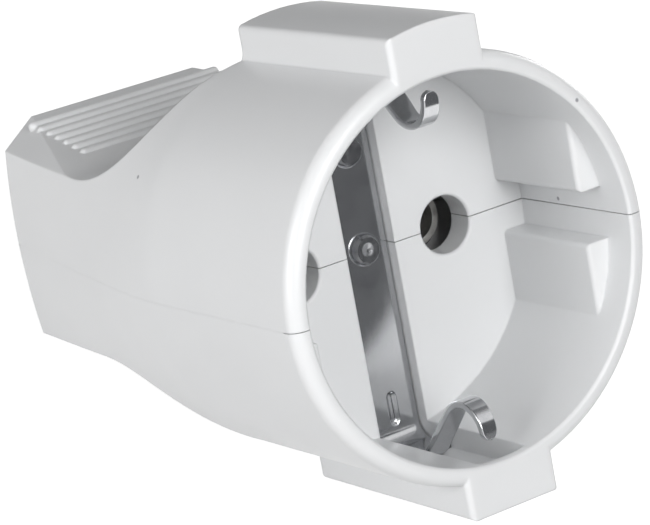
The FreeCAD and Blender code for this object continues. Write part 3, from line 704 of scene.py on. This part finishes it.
class StrapSettings(bpy.types.PropertyGroup):
    """Sizes of the earth strap, its two hooks and its beads"""
    width: millimetres("Width", "Width of the strap on the floor", 5.8)
    thickness: millimetres("Thickness", "Thickness of the strip", 0.7)
    tongue_width: millimetres("Tongue width", "Width of the hooks", 2.6)
    tip_width: millimetres("Tip width", "Width of the hooks near their tips", 1.7)
    taper_length: millimetres("Taper", "Length over which a hook narrows to its tip", 9.0)
    tongue_start: millimetres("Tongue start", "Where the strap narrows, behind the rim", 14.2)
    shoulder_radius: millimetres("Shoulder", "Radius where the strap narrows", 1.5)
    leg_radius: millimetres("Leg radius", "Distance of the outer legs from the axis", 21.6)
    foot_place: millimetres("Foot", "Where a leg turns into the hook, behind the rim", 13.1)
    hook_front: millimetres("Hook front", "Where a hook ends, behind the rim", 2.35)
    reach_radius: millimetres("Reach radius", "Distance from the axis to the nearest point of a hook", 14.0)
    curl_radius: millimetres("Curl", "Inner radius of a hook's curl", 2.4)
    tip_height: millimetres("Tip radius", "Distance of a hook's tip from the axis", 17.9)
    dimple_radius: millimetres("Dimple", "Radius of the dimple in a hook's tip", 0.55)
    dimple_depth: millimetres("Dimple depth", "Depth of the dimple in a hook's tip", 0.16)
    strap_bend: millimetres("Strap bend", "Inner radius of the bends at the floor", 1.7)
    hook_bend: millimetres("Hook bend", "Inner radius of the bends in the hooks", 1.5)
    bead_radius: millimetres("Bead radius", "Radius of the pressed bead", 0.65)
    bead_rise: millimetres("Bead height", "Height of the pressed bead", 0.35)
    bead_start: millimetres("Bead start", "Start of the bead, from the axis", 15.3)
    bead_end: millimetres("Bead end", "End of the bead, from the axis", 19.1)
    edge_radius: millimetres("Edge radius", "Rounding of the stamped edges", 0.12)
    step: millimetres("Step", "Distance between sections of the sweep", 0.16)


class FastenerSettings(bpy.types.PropertyGroup):
    """Sizes of the rivets and of the slots in the screws"""
    rivet_radius: millimetres("Rivet head", "Radius of a rivet's head", 1.75)
    rivet_head: millimetres("Rivet head height", "Height of a rivet's head", 0.85)
    rivet_shank: millimetres("Rivet shank", "Radius of a rivet's shank", 1.2)
    rivet_tail: millimetres("Rivet tail", "Length of a rivet's formed tail", 0.8)
    rivet_dimple: millimetres("Rivet dimple", "Depth of the dimple in the middle rivet's head", 0.16)
    upper_dimple: millimetres("Upper dimple", "Depth of the dimple in the upper rivet's head", 0.05)
    upper_rivet: millimetres("Upper rivet", "Height of the upper rivet over the middle one", 10.4)
    slot_width: millimetres("Slot width", "Width of a screw's slot", 0.7)
    slot_depth: millimetres("Slot depth", "Depth of a screw's slot", 0.9)


class StageSettings(bpy.types.PropertyGroup):
    """Camera, floor, lamps, dark flags and surround"""
    azimuth: degrees("Azimuth", "Turn of the camera about the connector", 31.508)
    elevation: degrees("Elevation", "Height of the camera over the connector's axis", 14.216)
    roll: degrees("Roll", "Tilt of the camera", 10.617)
    distance: metres("Distance", "Camera to aim", 0.314964)
    lens: plain_number("Lens", "Focal length on a 36 mm wide sensor, in millimetres", 185.317)
    aim: place_in_metres(
        "Aim", "Point that the camera looks at, in the connector's own axes", (-0.016682, 0.0, 0.005774))
    floor_colour: hex_colour("Floor", "Colour of the floor", "#bcbcbc")
    floor_glow: plain_number("Floor glow", "Light that only the camera and reflections see on the floor", 0.84)
    front_spot: place_in_metres(
        "Front lamp", "Place of the front lamp from the connector's middle", (-0.06, -0.48, 0.3))
    front_size: metres("Front size", "Side of the front lamp", 0.3)
    front_power: plain_number("Front power", "Power of the front lamp, in watts", 2.3)
    left_spot: place_in_metres(
        "Left lamp", "Place of the left lamp from the connector's middle", (-0.57, -0.1, 0.2))
    left_size: metres("Left size", "Side of the left lamp", 0.3)
    left_power: plain_number("Left power", "Power of the left lamp, in watts", 2.0)
    back_spot: place_in_metres(
        "Back lamp", "Place of the back lamp from the connector's middle", (0.55, 0.3, 0.05))
    back_size: metres("Back size", "Side of the back lamp", 0.3)
    back_power: plain_number("Back power", "Power of the back lamp, in watts", 1.5)
    front_flag: direction("Front flag", "Way to the flag that darkens the strap", (0.507, -0.826, -0.246))
    front_flag_size: metres("Front flag size", "Side of the front flag", 0.12)
    front_flag_distance: metres("Front flag distance", "Distance of the front flag from the rim", 0.12)
    back_flag: direction("Back flag", "Way to the flag that darkens the tops", (0.3, 0.72, 0.5))
    back_flag_size: metres("Back flag size", "Side of the back flag", 0.6)
    back_flag_distance: metres("Back flag distance", "Distance of the back flag from the rim", 0.4)
    top_flag: direction("Top flag", "Way to the flag that darkens the hooks", (0.1, -0.3, 1.0))
    top_flag_size: metres("Top flag size", "Side of the top flag", 0.45)
    top_flag_distance: metres("Top flag distance", "Distance of the top flag from the rim", 0.4)
    sky_low: plain_number("Sky, low", "Strength of the world at the horizon", 0.3)
    sky_high: plain_number("Sky, high", "Strength of the world overhead", 0.1)


# Operators

class SOCKET_OT_housing(bpy.types.Operator):
    """Gives the two moulded shells and the cord clamp their plastics, and closes the parting line"""
    bl_idname = "socket.housing"
    bl_label = "Finish the housing"

    def execute(self, context):
        settings = context.scene.socket_housing
        plastic = moulded_plastic(settings)
        for node in ("upper_shell", "lower_shell"):
            frame["nodes"][node].data.materials[0] = plastic
        frame["nodes"]["cord_clamp_bar"].data.materials[0] = clamp_plastic()
        lip = lip_mesh(settings)
        lip.transform(connector_axes())
        new_piece("parting_lip", lip, plastic)
        return {"FINISHED"}


class SOCKET_OT_strap(bpy.types.Operator):
    """Bends the earth strap with its two hooks"""
    bl_idname = "socket.strap"
    bl_label = "Make the earth strap"

    def execute(self, context):
        axes = connector_axes()
        mesh = strap_mesh(context.scene.socket_strap)
        mesh.transform(axes)
        along = axes.to_3x3().inverted()
        material = rolled_strip("bright_rolled_steel_strip", linear("#b6b7ba"), linear("#cbccce"), along)
        new_piece("earth_strap_bent", mesh, material, ["earth_strap"])
        return {"FINISHED"}


class SOCKET_OT_fasteners(bpy.types.Operator):
    """Turns the rivets and the screws with their threads and slots"""
    bl_idname = "socket.fasteners"
    bl_label = "Make rivets and screws"

    def execute(self, context):
        settings = context.scene.socket_fasteners
        zinc = turned_metal("zinc_plated_steel", linear("#8b9096"), linear("#b9bdc1"), 0.36)
        nickel = turned_metal("nickel_plated_rivet_steel", linear("#8f9093"), linear("#b9babc"), 0.2)
        upward = Matrix.Rotation(math.pi, 3, "X")
        backward = Matrix.Rotation(math.pi / 2, 3, "X")
        head_top = STRAP_FRONT - settings.rivet_head
        for rivet, height, sink in (("center_rivet", 0.0, settings.rivet_dimple),
                                    ("upper_rivet", settings.upper_rivet, settings.upper_dimple)):
            sizes = {"Radius": settings.rivet_radius, "Length": rivet_length(settings),
                     "Dimple Radius": settings.rivet_radius * 0.5, "Dimple Depth": sink}
            fasteners(rivet + "_turned", [(0.0, head_top, height)], backward, rivet_profile(settings), sizes,
                      nickel, [rivet])
        for screw in SCREWS:
            sizes = {"Radius": screw["radius"], "Length": screw["length"], "Thread Pitch": screw["pitch"],
                     "Thread Depth": screw["cut"], "Thread Start": screw["head"] + THREAD_GAP,
                     "Slot Width": settings.slot_width, "Slot Depth": settings.slot_depth}
            fasteners(screw["name"], screw["places"], upward, screw_profile(screw), sizes,
                      zinc, screw["replaced"])
        return {"FINISHED"}


class SOCKET_OT_contacts(bpy.types.Operator):
    """Gives the contacts, springs, plates and washers their metals"""
    bl_idname = "socket.contacts"
    bl_label = "Finish the contacts"

    def execute(self, context):
        brass = turned_metal("nickel_plated_brass", linear("#b4b3b0"), linear("#d2d1ce"), 0.45)
        spring = turned_metal("blued_spring_steel", linear("#5b5d61"), linear("#7d8085"), 0.36)
        washer = turned_metal("zinc_plated_washer_steel", linear("#84898f"), linear("#b0b4b8"), 0.38)
        for name, node in frame["nodes"].items():
            if name.endswith("_spring"):
                node.data.materials[0] = spring
            elif "contact" in name or name == "earth_terminal":
                node.data.materials[0] = brass
            elif "washer" in name:
                node.data.materials[0] = washer
        return {"FINISHED"}


class SOCKET_OT_stage(bpy.types.Operator):
    """Sets up the floor, the lamps, the world and the camera"""
    bl_idname = "socket.stage"
    bl_label = "Set the stage"

    def execute(self, context):
        settings = context.scene.socket_stage
        lay_floor(settings)
        light_world(settings)
        for side in ("front", "left", "back"):
            place_lamp(settings, side + "_lamp", side)
        for side in ("front", "back", "top"):
            hang_flag(settings, side + "_flag")
        place_camera(settings)
        context.scene.view_settings.view_transform = "Standard"
        return {"FINISHED"}


# Stage

def square_sheet(name, half):
    """A flat, level square about the origin, with this half side."""
    mesh = bpy.data.meshes.new(name)
    corners = [(-half, -half, 0), (half, -half, 0), (half, half, 0), (-half, half, 0)]
    mesh.from_pydata(corners, [], [(0, 1, 2, 3)])
    return mesh


def camera_or_glossy(tree, rays):
    """1 for what the camera sees straight or in a reflection, 0 for all other light."""
    return reckon(tree, "MAXIMUM", rays["Is Camera Ray"], rays["Is Glossy Ray"])


def lay_floor(settings):
    """A pale sheet under the connector. Seen by the camera it meets the white world, and keeps its shadow."""
    mesh = square_sheet("floor", FLOOR_HALF)
    floor = put_in_scene("floor", mesh)
    material, tree = blank_material("white_paper_sheet")
    paper = add(tree, "ShaderNodeBsdfDiffuse", {"Color": tuple(settings.floor_colour) + (1.0,)})
    seen = camera_or_glossy(tree, add(tree, "ShaderNodeLightPath").outputs)
    lift = reckon(tree, "MULTIPLY", seen, settings.floor_glow)
    glow = add(tree, "ShaderNodeEmission", {"Color": (1, 1, 1, 1), "Strength": lift})
    both = add(tree, "ShaderNodeAddShader", {0: paper.outputs[0], 1: glow.outputs[0]})
    add(tree, "ShaderNodeOutputMaterial", {"Surface": both.outputs[0]})
    mesh.materials.append(material)


def light_world(settings):
    """A soft surround, bright at the horizon and dim overhead. Seen straight or in a reflection it is white."""
    world = bpy.data.worlds.new("studio")
    bpy.context.scene.world = world
    world.use_nodes = True
    tree = world.node_tree
    tree.nodes.clear()
    way = add(tree, "ShaderNodeTexCoord").outputs["Generated"]
    height = add(tree, "ShaderNodeSeparateXYZ", {0: way}).outputs["Z"]
    level = ranged(tree, height, 0.0, 0.9, settings.sky_low, settings.sky_high)
    rays = add(tree, "ShaderNodeLightPath").outputs
    seen = reckon(tree, "MAXIMUM", camera_or_glossy(tree, rays), rays["Is Transmission Ray"])
    background = add(tree, "ShaderNodeBackground", {
        "Color": (1, 1, 1, 1), "Strength": mixed(tree, "FLOAT", seen, level, 1.0)})
    add(tree, "ShaderNodeOutputWorld", {"Surface": background.outputs[0]})


def place_lamp(settings, name, side):
    """A broad lamp that faces the connector's middle."""
    spot = Vector(getattr(settings, side + "_spot"))
    lamp = bpy.data.lights.new(name, "AREA")
    lamp.size = getattr(settings, side + "_size")
    lamp.energy = getattr(settings, side + "_power")
    holder = put_in_scene(name, lamp)
    holder.location = Vector((0.0, 0.0, MIDDLE_HEIGHT)) + spot
    holder.rotation_euler = (-spot).to_track_quat("-Z", "Y").to_euler()


def hang_flag(settings, name):
    """A dark cloth that only reflections see, square to its direction from the rim."""
    axes = connector_axes()
    ahead = (axes.to_3x3() @ Vector(getattr(settings, name))).normalized()
    mesh = square_sheet(name, getattr(settings, name + "_size") / 2)
    mesh.transform(ahead.to_track_quat("Z", "Y").to_matrix().to_4x4())
    mesh.transform(Matrix.Translation(axes.translation + ahead * getattr(settings, name + "_distance")))
    flag = put_in_scene(name, mesh)
    cloth, tree = blank_material(name + "_cloth")
    grey = add(tree, "ShaderNodeEmission", {"Color": linear("#6b6c6e"), "Strength": 1.0})
    add(tree, "ShaderNodeOutputMaterial", {"Surface": grey.outputs[0]})
    mesh.materials.append(cloth)
    flag.visible_camera = False
    flag.visible_diffuse = False
    flag.visible_shadow = False
    flag.visible_transmission = False


def place_camera(settings):
    """Camera at the angle, distance and lens of the reference view, worked out in the connector's own axes."""
    a, e, r = settings.azimuth, settings.elevation, settings.roll
    forward = Vector((math.sin(a) * math.cos(e), math.cos(a) * math.cos(e), -math.sin(e)))
    level_right = Vector((math.cos(a), -math.sin(a), 0.0))
    level_up = level_right.cross(forward)
    right = math.cos(r) * level_right - math.sin(r) * level_up
    up = math.sin(r) * level_right + math.cos(r) * level_up
    matrix = Matrix((right, up, -forward)).transposed().to_4x4()
    matrix.translation = Vector(settings.aim) - forward * settings.distance
    data = bpy.data.cameras.new("camera")
    data.sensor_fit = "HORIZONTAL"
    data.sensor_width = 36.0
    data.lens = settings.lens
    data.clip_start = 0.01
    camera = put_in_scene("camera", data)
    camera.matrix_world = connector_axes() @ matrix
    bpy.context.scene.camera = camera


# Panel and start

class SOCKET_PT_pieces(bpy.types.Panel):
    """Buttons for every group of pieces and for the stage"""
    bl_label = "Inline socket connector"
    bl_idname = "SOCKET_PT_pieces"
    bl_space_type = "VIEW_3D"
    bl_region_type = "UI"
    bl_category = "Socket"

    def draw(self, context):
        for operator in OPERATORS:
            self.layout.operator(operator.bl_idname)


OPERATORS = (SOCKET_OT_housing, SOCKET_OT_contacts, SOCKET_OT_strap, SOCKET_OT_fasteners, SOCKET_OT_stage)
GROUPS = {
    "socket_housing": HousingSettings,
    "socket_strap": StrapSettings,
    "socket_fasteners": FastenerSettings,
    "socket_stage": StageSettings,
}


def register():
    for name, group in GROUPS.items():
        bpy.utils.register_class(group)
        setattr(bpy.types.Scene, name, PointerProperty(type=group))
    for operator in OPERATORS:
        bpy.utils.register_class(operator)
    bpy.utils.register_class(SOCKET_PT_pieces)


def unregister():
    bpy.utils.unregister_class(SOCKET_PT_pieces)
    for operator in reversed(OPERATORS):
        bpy.utils.unregister_class(operator)
    for name, group in GROUPS.items():
        delattr(bpy.types.Scene, name)
        bpy.utils.unregister_class(group)


def main():
    register()
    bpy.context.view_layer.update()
    bpy.ops.socket.housing()
    bpy.ops.socket.contacts()
    bpy.ops.socket.strap()
    bpy.ops.socket.fasteners()
    bpy.ops.socket.stage()


if __name__ == "__main__":
    main()
